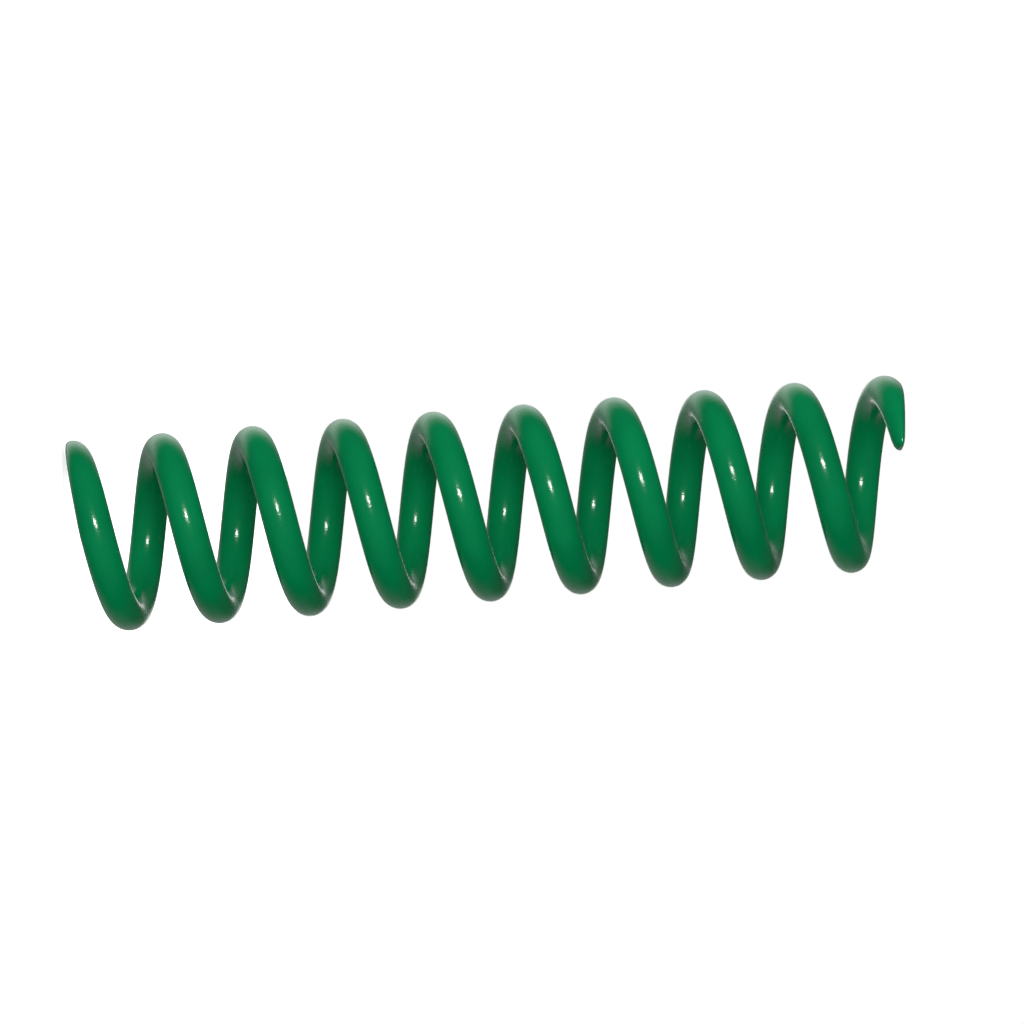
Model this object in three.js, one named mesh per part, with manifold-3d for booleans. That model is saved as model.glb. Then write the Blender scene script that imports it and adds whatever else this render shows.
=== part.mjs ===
// A heavy open-ended compression coil spring, 79 mm over the coils and 341 mm long.
// It stands upright on its bottom end: +Z is the spring's axis, the origin is the
// middle of the bottom end, and every length is in millimetres.
//
// The spring is one continuous wire. So that it can shorten, the wire is divided by
// radial cuts into short rigid lengths. Each length drops and tilts as that stretch of
// the real wire does when the spring is loaded.

import * as THREE from "three";
import { mergeVertices } from "three/addons/utils/BufferGeometryUtils.js";
import Module from "manifold-3d";

const wasm = await Module();
wasm.setup();

// The wire and the coil.
const WIRE_D = 14;
const MEAN_D = 65;
const PITCH = 36.7;

// Where the wire starts and stops, in degrees along the coil. The crest of the first
// turn is at 0, on the -X side, and the wire winds up right-handed from there.
const WIRE_START = -50;
const WIRE_END = 3315;
const FIRST_CUT = 90;
const LENGTH_ARC = 120;
const LENGTH_COUNT = 26;

// Height of the wire's centre at the first crest, above the lowest edge of the spring.
const CREST_HEIGHT = 2.867;

// Both end faces are flat and lean by the same angle, so that they close towards +X.
// The bottom face passes this far below the wire's centre at the first crest, and the
// top face would meet the axis at this height.
const END_LEAN = 7;
const BOTTOM_FACE_DROP = 2.1;
const TOP_FACE_HEIGHT = 336.7;

// Free space between two neighbouring lengths, measured on the wire's centre line.
const CUT_GAP = 0.6;

// Facets round the wire, and the arc of one step along it.
const WIRE_SIDES = 12;
const STEP_ARC = 10;

const COAT_GREEN = 0x00653a;

const coilR = MEAN_D / 2;
const wireR = WIRE_D / 2;
const gapArc = THREE.MathUtils.radToDeg(CUT_GAP / coilR);
const climbSlope = PITCH / (2 * Math.PI * coilR);
const leanAngle = THREE.MathUtils.degToRad(END_LEAN);

// Height that the wire's centre line climbs over an arc.
function climb(arc) {
  return (PITCH * arc) / 360;
}

// The centre line of the wire from one angle to another. Its frames keep every
// section in a radial plane, so that the cuts are radial too.
class WirePath extends THREE.Curve {
  constructor(from, to) {
    super();
    this.from = from;
    this.to = to;
  }

  angleAt(t) {
    return THREE.MathUtils.lerp(this.from, this.to, t);
  }

  outwardAt(t) {
    const turn = THREE.MathUtils.degToRad(this.angleAt(t));
    return new THREE.Vector3(-Math.cos(turn), -Math.sin(turn), 0);
  }

  getPoint(t, target = new THREE.Vector3()) {
    const outward = this.outwardAt(t);
    return target.set(outward.x * coilR, outward.y * coilR, climb(this.angleAt(t)));
  }

  computeFrenetFrames(segments) {
    const tangents = [];
    const normals = [];
    const binormals = [];
    for (let i = 0; i <= segments; i += 1) {
      const up = new THREE.Vector3(0, 0, 1);
      const outward = this.outwardAt(i / segments);
      tangents.push(new THREE.Vector3().crossVectors(up, outward));
      normals.push(up);
      binormals.push(outward);
    }
    return { tangents, normals, binormals };
  }
}

// The round wire cut by a radial plane is an ellipse, a little taller than it is wide,
// because the wire climbs through the plane at a slant.
function wireSection() {
  const shape = new THREE.Shape();
  shape.absellipse(0, 0, wireR * Math.hypot(1, climbSlope), wireR, 0, 2 * Math.PI, false);
  return shape;
}

// A closed length of wire that follows the coil from one angle to another.
function wireLength(from, to) {
  const geometry = new THREE.ExtrudeGeometry(wireSection(), {
    curveSegments: WIRE_SIDES / 2,
    steps: Math.round((to - from) / STEP_ARC),
    bevelEnabled: false,
    extrudePath: new WirePath(from, to),
  });
  return geometry;
}

function toSolid(geometry) {
  const bare = geometry.clone();
  bare.deleteAttribute("normal");
  bare.deleteAttribute("uv");
  const merged = mergeVertices(bare, 1e-4);
  const vertProperties = new Float32Array(merged.attributes.position.array);
  const triVerts = new Uint32Array(merged.index.array);
  return new wasm.Manifold(new wasm.Mesh({ numProp: 3, vertProperties, triVerts }));
}

function toGeometry(solid) {
  const mesh = solid.getMesh();
  const geometry = new THREE.BufferGeometry();
  const positions = new Float32Array(mesh.vertProperties);
  geometry.setAttribute("position", new THREE.BufferAttribute(positions, 3));
  geometry.setIndex(Array.from(mesh.triVerts));
  geometry.computeVertexNormals();
  return geometry;
}

// Cuts an end of the wire flat. The face crosses the axis at this height, side is 1 to
// take away what is above the face and -1 for what is below, and lean is how far the
// face turns about Y.
function cutEnd(geometry, height, side, lean) {
  const size = 2 * MEAN_D;
  const waste = new THREE.BoxGeometry(size, size, size);
  waste.translate(0, 0, (side * size) / 2);
  waste.rotateY(lean);
  waste.translate(0, 0, height);
  return toGeometry(toSolid(geometry).subtract(toSolid(waste)));
}

function place(geometry, name) {
  const material = new THREE.MeshStandardMaterial({
    color: COAT_GREEN,
    roughness: 0.2,
    metalness: 0,
  });
  const mesh = new THREE.Mesh(geometry, material);
  mesh.name = name;
  return mesh;
}

const group = new THREE.Group();

// The coil's own height 0 is the wire's centre at the first crest.
const coil = new THREE.Group();
coil.position.z = CREST_HEIGHT;
group.add(coil);

// The bottom end length carries the whole bottom face. Its blunt tip is at the back.
const bottomFaceHeight = coilR * Math.tan(leanAngle) - BOTTOM_FACE_DROP;
const bottomWire = wireLength(WIRE_START, FIRST_CUT - gapArc / 2);
const bottomEnd = cutEnd(bottomWire, bottomFaceHeight, -1, -leanAngle);
coil.add(place(bottomEnd, "bottom_end_length"));

// The repeated lengths, three to a turn.
for (let k = 0; k < LENGTH_COUNT; k += 1) {
  const number = String(k + 1).padStart(2, "0");
  const length = place(
    wireLength(gapArc / 2, LENGTH_ARC - gapArc / 2),
    `wire_length_${number}`,
  );
  const start = FIRST_CUT + LENGTH_ARC * k;
  length.rotation.z = THREE.MathUtils.degToRad(start % 360);
  length.position.z = climb(start);
  coil.add(length);
}

// The top end length carries the whole top face. Its blunt tip is at the front.
const lastCut = FIRST_CUT + LENGTH_ARC * LENGTH_COUNT;
const topWire = wireLength(lastCut + gapArc / 2, WIRE_END);
const topEnd = cutEnd(topWire, TOP_FACE_HEIGHT - CREST_HEIGHT, 1, leanAngle);
coil.add(place(topEnd, "top_end_length"));

export default group;
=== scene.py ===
# A heavy green coil spring: one round steel wire wound into an open right-handed
# coil, both ends cut flat, powder coated in glossy green. Everything is in metres.
#
# The spring stands on its bottom end with its axis on +Z. Each piece below is one
# length of the wire and moves with the CAD body of that length, so the whole wire
# shortens when the compression joint moves. The lengths line up at rest, come within
# about 0.3 mm of it at full travel, and are out of line by up to about 1 mm between.

import math

import bpy
from mathutils import Matrix, Vector


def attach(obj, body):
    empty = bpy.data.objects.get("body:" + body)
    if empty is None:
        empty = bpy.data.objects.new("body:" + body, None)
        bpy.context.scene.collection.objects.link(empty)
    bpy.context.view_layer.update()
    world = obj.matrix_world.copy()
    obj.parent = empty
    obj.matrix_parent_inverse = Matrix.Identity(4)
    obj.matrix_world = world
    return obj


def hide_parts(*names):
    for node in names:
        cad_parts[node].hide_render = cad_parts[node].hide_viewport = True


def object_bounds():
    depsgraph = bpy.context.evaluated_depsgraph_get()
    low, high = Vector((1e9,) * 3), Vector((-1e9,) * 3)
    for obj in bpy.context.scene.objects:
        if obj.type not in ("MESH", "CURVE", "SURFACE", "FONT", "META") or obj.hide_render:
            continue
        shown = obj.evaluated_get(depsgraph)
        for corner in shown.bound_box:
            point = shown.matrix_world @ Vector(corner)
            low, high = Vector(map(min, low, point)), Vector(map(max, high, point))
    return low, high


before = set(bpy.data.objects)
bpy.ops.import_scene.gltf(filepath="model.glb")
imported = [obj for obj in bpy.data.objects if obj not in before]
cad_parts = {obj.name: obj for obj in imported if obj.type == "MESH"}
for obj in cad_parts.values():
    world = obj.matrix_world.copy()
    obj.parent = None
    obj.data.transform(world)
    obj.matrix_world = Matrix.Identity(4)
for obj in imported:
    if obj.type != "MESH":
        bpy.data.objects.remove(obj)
cad_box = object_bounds()

# ---------------------------------------------------------------- the spring

MM = 0.001
WIRE_RADIUS = 7 * MM
PITCH = 36.7 * MM

# Half the width over the coils, less half the wire, is the coil's own radius.
COIL_RADIUS = (cad_box[1][0] - cad_box[0][0]) / 2 - WIRE_RADIUS

# Angles along the wire in degrees. The first crest is at 0, on the -X side.
WIRE_START = -50
FIRST_CUT = 90
LENGTH_ARC = 120
LENGTH_COUNT = 26
WIRE_END = 3315

# Height of the wire's centre at the first crest.
CREST_HEIGHT = 2.867 * MM

# Both end faces are flat, lean by the same angle and close towards +X.
END_LEAN = math.radians(7)
BOTTOM_FACE_ON_AXIS = CREST_HEIGHT - 2.1 * MM + COIL_RADIUS * math.tan(END_LEAN)
TOP_FACE_ON_AXIS = 336.7 * MM

# The edges of the cut ends are rounded by about 2 mm. The end pieces are remeshed to
# this grain and eased this often, within this reach of a cut. The easing fades out
# within this reach of the joint to the next piece.
END_GRAIN = 0.42 * MM
END_PASSES = 320
END_REACH = 5 * MM
JOINT_REACH = 10 * MM

# An end piece is first modelled this much too long, in degrees.
SPARE_ARC = 6

# Faces round the wire, and the arc of one face along it. Shading is smooth across an
# edge that turns by less than the last angle.
WIRE_SIDES = 56
LENGTH_STEP = 1
END_STEP = 2
SHARP_ANGLE = math.radians(35)


def climb(arc):
    """Height that the wire's centre line climbs over an arc in degrees."""
    return PITCH * arc / 360


def select_only(piece):
    """Makes one piece the only one selected, and the active one."""
    bpy.ops.object.select_all(action="DESELECT")
    piece.select_set(True)
    bpy.context.view_layer.objects.active = piece


def apply_place(piece):
    """Moves the object's place into its mesh."""
    select_only(piece)
    bpy.ops.object.transform_apply(location=True, rotation=True, scale=True)


def wire_length(name, start, arc, step):
    """A closed length of round wire that follows the coil over an arc from start, in
    steps of so many degrees."""
    bpy.ops.object.select_all(action="DESELECT")
    turn = math.radians(start)
    bpy.ops.mesh.primitive_circle_add(
        vertices=WIRE_SIDES,
        radius=WIRE_RADIUS,
        location=(
            -COIL_RADIUS * math.cos(turn),
            -COIL_RADIUS * math.sin(turn),
            CREST_HEIGHT + climb(start),
        ),
        rotation=(math.pi / 2, 0, turn),
    )
    piece = bpy.context.object
    piece.name = piece.data.name = name

    # The wire climbs through the radial plane at a slant, so its section there is an
    # ellipse a little taller than it is wide.
    slant = math.atan2(PITCH / (2 * math.pi), COIL_RADIUS)
    piece.scale = (1, 1 / math.cos(slant), 1)
    apply_place(piece)

    screw = piece.modifiers.new("coil", "SCREW")
    screw.angle = math.radians(arc)
    screw.screw_offset = climb(arc)
    screw.steps = screw.render_steps = round(arc / step)
    screw.use_smooth_shade = True
    screw.use_normal_calculate = True
    bpy.ops.object.modifier_apply(modifier=screw.name)

    # Both ends are closed, and the faces turned outwards.
    bpy.ops.object.mode_set(mode="EDIT")
    bpy.ops.mesh.select_all(action="SELECT")
    bpy.ops.mesh.fill_holes(sides=0)
    bpy.ops.mesh.select_all(action="SELECT")
    bpy.ops.mesh.normals_make_consistent(inside=False)
    bpy.ops.object.mode_set(mode="OBJECT")
    return piece


def smooth(piece):
    select_only(piece)
    bpy.ops.object.shade_smooth_by_angle(angle=SHARP_ANGLE)


def slice_off(piece, point, waste):
    """Cuts a piece flat at a point, closes it, and drops the part on the waste side."""
    select_only(piece)
    bpy.ops.object.mode_set(mode="EDIT")
    bpy.ops.mesh.select_all(action="SELECT")
    bpy.ops.mesh.bisect(plane_co=point, plane_no=waste, use_fill=True, clear_outer=True)
    bpy.ops.object.mode_set(mode="OBJECT")


def along(arc):
    """Direction in which the wire runs, seen from above, at an angle in degrees."""
    turn = math.radians(arc)
    return Vector((math.sin(turn), -math.cos(turn), 0))


def round_cuts(piece, face_point, face_normal, tip_arc, joint_arc):
    """Rounds the edges of the flat face and of the blunt tip of the wire, and leaves
    the wire as it is where it meets the next piece."""
    select_only(piece)
    remesh = piece.modifiers.new("grain", "REMESH")
    remesh.mode = "VOXEL"
    remesh.voxel_size = END_GRAIN
    bpy.ops.object.modifier_apply(modifier=remesh.name)

    near_cuts = piece.vertex_groups.new(name="near the cuts")
    for vertex in piece.data.vertices:
        to_face = abs((vertex.co - face_point).dot(face_normal))
        to_tip = abs(vertex.co.dot(along(tip_arc)))
        to_joint = abs(vertex.co.dot(along(joint_arc)))
        near = max(0, 1 - min(to_face, to_tip) / END_REACH)
        far = min(1, to_joint / JOINT_REACH)
        near_cuts.add([vertex.index], near * far, "REPLACE")

    ease = piece.modifiers.new("ease", "SMOOTH")
    ease.factor = 0.5
    ease.iterations = END_PASSES
    ease.vertex_group = near_cuts.name
    bpy.ops.object.modifier_apply(modifier=ease.name)


def wire_end(name, tip_arc, joint_arc, face_height, side):
    """An end of the wire, with its flat face. Side is 1 at the top and -1 at the
    bottom. It is modelled a little too long, cut flat and rounded, and then cut to
    length at the joint, so that it isn't rounded there."""
    start, stop = sorted((tip_arc, joint_arc - side * SPARE_ARC))
    piece = wire_length(name, start, stop - start, END_STEP)
    face_point = Vector((0, 0, face_height))
    face_normal = Vector((math.sin(END_LEAN), 0, side * math.cos(END_LEAN)))
    slice_off(piece, face_point, face_normal)
    round_cuts(piece, face_point, face_normal, tip_arc, joint_arc)
    slice_off(piece, Vector((0, 0, 0)), -side * along(joint_arc))
    smooth(piece)
    return piece


bottom = wire_end("wire_bottom_end", WIRE_START, FIRST_CUT, BOTTOM_FACE_ON_AXIS, -1)
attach(bottom, "bottom_end")
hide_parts("bottom_end_length")

# One third of a turn is modelled once, then copied up the coil.
pattern = wire_length("wire_01", FIRST_CUT, LENGTH_ARC, LENGTH_STEP)
smooth(pattern)
lengths = [pattern]
for k in range(1, LENGTH_COUNT):
    select_only(pattern)
    bpy.ops.object.duplicate(linked=False)
    copy = bpy.context.object
    copy.name = copy.data.name = f"wire_{k + 1:02d}"
    copy.rotation_euler.z = math.radians(LENGTH_ARC * k % 360)
    copy.location.z = climb(LENGTH_ARC * k)
    apply_place(copy)
    lengths.append(copy)
for k, piece in enumerate(lengths):
    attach(piece, f"length_{k + 1:02d}")
    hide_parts(f"wire_length_{k + 1:02d}")

last_cut = FIRST_CUT + LENGTH_ARC * LENGTH_COUNT
top = wire_end("wire_top_end", WIRE_END, last_cut, TOP_FACE_ON_AXIS, 1)
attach(top, "top_end")
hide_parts("top_end_length")

pieces = [bottom, *lengths, top]

# ---------------------------------------------------------------- the coat


def linear(hex_colour):
    """An sRGB hex colour as linear RGBA."""
    channels = [int(hex_colour[i : i + 2], 16) / 255 for i in (1, 3, 5)]
    return [
        c / 12.92 if c <= 0.04045 else ((c + 0.055) / 1.055) ** 2.4 for c in channels
    ] + [1.0]


def add_node(tree, kind, settings=None, links=None):
    """Adds a node with its settings and links. A setting names an input or a property,
    and a link gives an input the socket that feeds it."""
    node = tree.nodes.new(kind)
    for key, value in (settings or {}).items():
        if key in node.inputs:
            node.inputs[key].default_value = value
        else:
            setattr(node, key, value)
    for key, socket in (links or {}).items():
        tree.links.new(socket, node.inputs[key])
    return node


def glossy_powder_coat():
    """Polyester powder coat, baked to a high gloss over shot-blasted spring steel. It
    gives a deep even green with a small sharp highlight. The highlight breaks up in the
    faint orange peel that every baked powder has, and the green is a trace lighter
    where the powder lies thicker."""
    material = bpy.data.materials.new("glossy green powder coat")
    material.use_nodes = True
    tree = material.node_tree
    tree.nodes.clear()
    place = add_node(tree, "ShaderNodeTexCoord").outputs["Object"]

    # Slow change of the green, over about 25 mm of the wire.
    thickness = add_node(
        tree, "ShaderNodeTexNoise", {"Scale": 1 / (25 * MM), "Detail": 3.0}, {"Vector": place}
    )
    green = add_node(tree, "ShaderNodeValToRGB", links={"Fac": thickness.outputs["Fac"]})
    green.color_ramp.elements[0].position = 0.3
    green.color_ramp.elements[0].color = linear("#007544")
    green.color_ramp.elements[1].position = 0.7
    green.color_ramp.elements[1].color = linear("#00804b")

    # Gloss that is a little uneven from patch to patch.
    gloss = add_node(
        tree, "ShaderNodeTexNoise", {"Scale": 1 / (4 * MM), "Detail": 2.0}, {"Vector": place}
    )
    roughness = add_node(
        tree,
        "ShaderNodeMapRange",
        {"To Min": 0.14, "To Max": 0.2},
        {"Value": gloss.outputs["Fac"]},
    )

    # Orange peel: soft dimples about 1.6 mm across, and fine grain under them. Both are
    # deeper than they would be on a real coat, so that they show at this size.
    peel = add_node(
        tree, "ShaderNodeTexNoise", {"Scale": 1 / (1.6 * MM), "Detail": 1.0}, {"Vector": place}
    )
    peel_bump = add_node(
        tree,
        "ShaderNodeBump",
        {"Strength": 0.8, "Distance": 0.07 * MM},
        {"Height": peel.outputs["Fac"]},
    )
    grain = add_node(
        tree, "ShaderNodeTexNoise", {"Scale": 1 / (0.45 * MM), "Detail": 1.0}, {"Vector": place}
    )
    grain_bump = add_node(
        tree,
        "ShaderNodeBump",
        {"Strength": 0.7, "Distance": 0.015 * MM},
        {"Height": grain.outputs["Fac"], "Normal": peel_bump.outputs["Normal"]},
    )

    shader = add_node(
        tree,
        "ShaderNodeBsdfPrincipled",
        {"IOR": 1.5},
        {
            "Base Color": green.outputs["Color"],
            "Roughness": roughness.outputs["Result"],
            "Normal": grain_bump.outputs["Normal"],
        },
    )
    add_node(tree, "ShaderNodeOutputMaterial", links={"Surface": shader.outputs["BSDF"]})
    return material


coat = glossy_powder_coat()
for piece in pieces:
    piece.data.materials.clear()
    piece.data.materials.append(coat)

# ---------------------------------------------------------------- the camera

# A long lens looks square at the side of the spring, from a little below its middle,
# and is rolled so that the spring lies across the view and climbs to the right. Then
# the camera slides in its own plane, to set the spring in the frame.
CAMERA_DISTANCE = 3.044
CAMERA_SLANT = math.radians(0.84)
CAMERA_ROLL = math.radians(4.55)
CAMERA_LENS = 263.8
CAMERA_SENSOR = 36
CAMERA_REACH = 50
MIDDLE = Vector((0, 0, 164 * MM))
SLIDE_RIGHT = 15.2 * MM
SLIDE_UP = -2.6 * MM

to_camera = Vector((0, -math.cos(CAMERA_SLANT), -math.sin(CAMERA_SLANT)))
bpy.ops.object.camera_add(rotation=(0, 0, 0))
camera = bpy.context.object
camera.name = "camera"
camera.data.lens = CAMERA_LENS
camera.data.sensor_width = CAMERA_SENSOR
camera.data.clip_end = CAMERA_REACH
view_up = Vector((-math.cos(CAMERA_ROLL), 0, math.sin(CAMERA_ROLL)))
view_right = view_up.cross(to_camera).normalized()
view_up = to_camera.cross(view_right)
axes_of_view = Matrix((view_right, view_up, to_camera)).transposed()
camera.rotation_euler = axes_of_view.to_euler()
camera.location = (
    MIDDLE
    + to_camera * CAMERA_DISTANCE
    + view_right * SLIDE_RIGHT
    + view_up * SLIDE_UP
)
bpy.context.scene.camera = camera

# ---------------------------------------------------------------- the studio


def soft_light(name, direction, distance, width, height, radiance):
    """An oval softbox that faces the middle of the spring, with its width along it.
    Its power is what gives the whole oval that radiance."""
    bpy.ops.object.light_add(type="AREA", location=MIDDLE + direction * distance)
    light = bpy.context.object
    light.name = light.data.name = name
    light.data.shape = "ELLIPSE"
    light.data.size = height
    light.data.size_y = width
    light.data.energy = radiance * math.pi * math.pi * width * height / 4
    light.rotation_euler = direction.to_track_quat("Z", "Y").to_euler()


def view_direction(rise, turn):
    """A direction so many degrees above and to the right of the camera's."""
    return (
        to_camera * math.cos(math.radians(rise)) * math.cos(math.radians(turn))
        + view_up * math.sin(math.radians(rise))
        + view_right * math.sin(math.radians(turn))
    ).normalized()


def fill_light(name, direction, strength, spread):
    """A light from a wide part of the room, screened so that the gloss doesn't show it.
    Spread is the angle that it fills, in degrees."""
    bpy.ops.object.light_add(type="SUN", location=MIDDLE + direction * CAMERA_DISTANCE)
    light = bpy.context.object
    light.name = light.data.name = name
    light.data.energy = strength
    light.data.angle = math.radians(spread)
    light.rotation_euler = direction.to_track_quat("Z", "Y").to_euler()
    light.visible_glossy = False
    return light


# A small key light stands just above the camera, in the camera's own view. A wide soft
# light gives the far side its gloss, and the fill lights keep the green even all round.
soft_light(
    "key_light",
    view_direction(rise=16, turn=-1),
    distance=1.8,
    width=0.5,
    height=0.24,
    radiance=52,
)
soft_light("far_light", -to_camera, distance=1.8, width=0.9, height=0.9, radiance=1.2)
fill_light("near_fill", view_direction(rise=10, turn=0), strength=1.9, spread=160)
fill_light("far_fill", -view_direction(rise=-10, turn=0), strength=2.2, spread=160)

# The room is dark round the camera and white behind the spring, more so on the side of
# the key light. What the camera itself sees of the room is plain white.
world = bpy.data.worlds.new("studio room")
world.use_nodes = True
bpy.context.scene.world = world
room = world.node_tree
room.nodes.clear()
direction = add_node(room, "ShaderNodeTexCoord").outputs["Generated"]
axes = add_node(room, "ShaderNodeSeparateXYZ", links={"Vector": direction})


def ramp(axis, start, end, low, high):
    """Brightness that goes from low to high between two values along an axis."""
    node = add_node(
        room,
        "ShaderNodeMapRange",
        {"From Min": start, "From Max": end, "To Min": low, "To Max": high},
        {"Value": axis},
    )
    return node.outputs["Result"]


def combine(operation, *sockets):
    """The result of a sum on one or two brightnesses."""
    node = add_node(room, "ShaderNodeMath", {"operation": operation})
    for place, socket in zip(node.inputs, sockets):
        room.links.new(socket, place)
    return node.outputs["Value"]


# Along Y the room brightens behind the spring. The half on the -X side, where the key
# light is, is brighter than the half on the +X side.
upper = ramp(axes.outputs["Y"], start=0.47, end=0.82, low=0, high=1.15)
lower = ramp(axes.outputs["Y"], start=0.12, end=0.95, low=0, high=0.45)
is_upper = ramp(axes.outputs["X"], start=0.3, end=-0.3, low=0, high=1)
is_lower = ramp(axes.outputs["X"], start=-0.3, end=0.3, low=0, high=1)
both = combine(
    "ADD", combine("MULTIPLY", upper, is_upper), combine("MULTIPLY", lower, is_lower)
)

# It is dimmer level with the spring's axis, and towards both ends of the spring.
off_level = ramp(
    combine("ABSOLUTE", axes.outputs["X"]), start=0.1, end=0.45, low=0.3, high=1
)
ends = combine(
    "MULTIPLY",
    ramp(axes.outputs["Z"], start=0.15, end=0.5, low=1, high=0.15),
    ramp(axes.outputs["Z"], start=-0.65, end=-0.9, low=1, high=0.15),
)
glow = combine("MULTIPLY", both, combine("MULTIPLY", off_level, ends))
lit = add_node(room, "ShaderNodeBackground", links={"Strength": glow})
seen = add_node(room, "ShaderNodeBackground")
for background in (lit, seen):
    background.inputs["Color"].default_value = (1, 1, 1, 1)
sight = add_node(room, "ShaderNodeLightPath").outputs["Is Camera Ray"]
either = add_node(room, "ShaderNodeMixShader", links={"Fac": sight})
room.links.new(lit.outputs["Background"], either.inputs[1])
room.links.new(seen.outputs["Background"], either.inputs[2])
add_node(room, "ShaderNodeOutputWorld", links={"Surface": either.outputs["Shader"]})

# A plain white floor just under the spring, with a soft light of its own. The spring's
# gloss doesn't show it, and it throws no light or shadow on the spring. It glows a
# little, so that it stays as white as the room behind it.
FLOOR_SIZE = 12
FLOOR_DROP = 0.5 * MM
FLOOR_GLOW = 0.75

bpy.ops.mesh.primitive_plane_add(size=FLOOR_SIZE, location=(0, 0, -FLOOR_DROP))
floor = bpy.context.object
floor.name = floor.data.name = "studio_floor"
floor_paint = bpy.data.materials.new("white studio floor")
floor_paint.use_nodes = True
floor_shader = floor_paint.node_tree.nodes["Principled BSDF"]
floor_shader.inputs["Base Color"].default_value = (0.8, 0.8, 0.8, 1)
floor_shader.inputs["Roughness"].default_value = 1.0
floor_shader.inputs["Specular IOR Level"].default_value = 0.0
floor_shader.inputs["Emission Color"].default_value = (1, 1, 1, 1)
floor_shader.inputs["Emission Strength"].default_value = FLOOR_GLOW
floor.data.materials.append(floor_paint)
floor.visible_diffuse = False
floor.visible_glossy = False
floor.visible_shadow = False

floor_light = fill_light("floor_light", Vector((0, 0, 1)), strength=2.4, spread=120)
floor_only = bpy.data.collections.new("floor_only")
floor_only.objects.link(floor)
floor_light.light_linking.receiver_collection = floor_only

bpy.context.scene.view_settings.view_transform = "Standard"
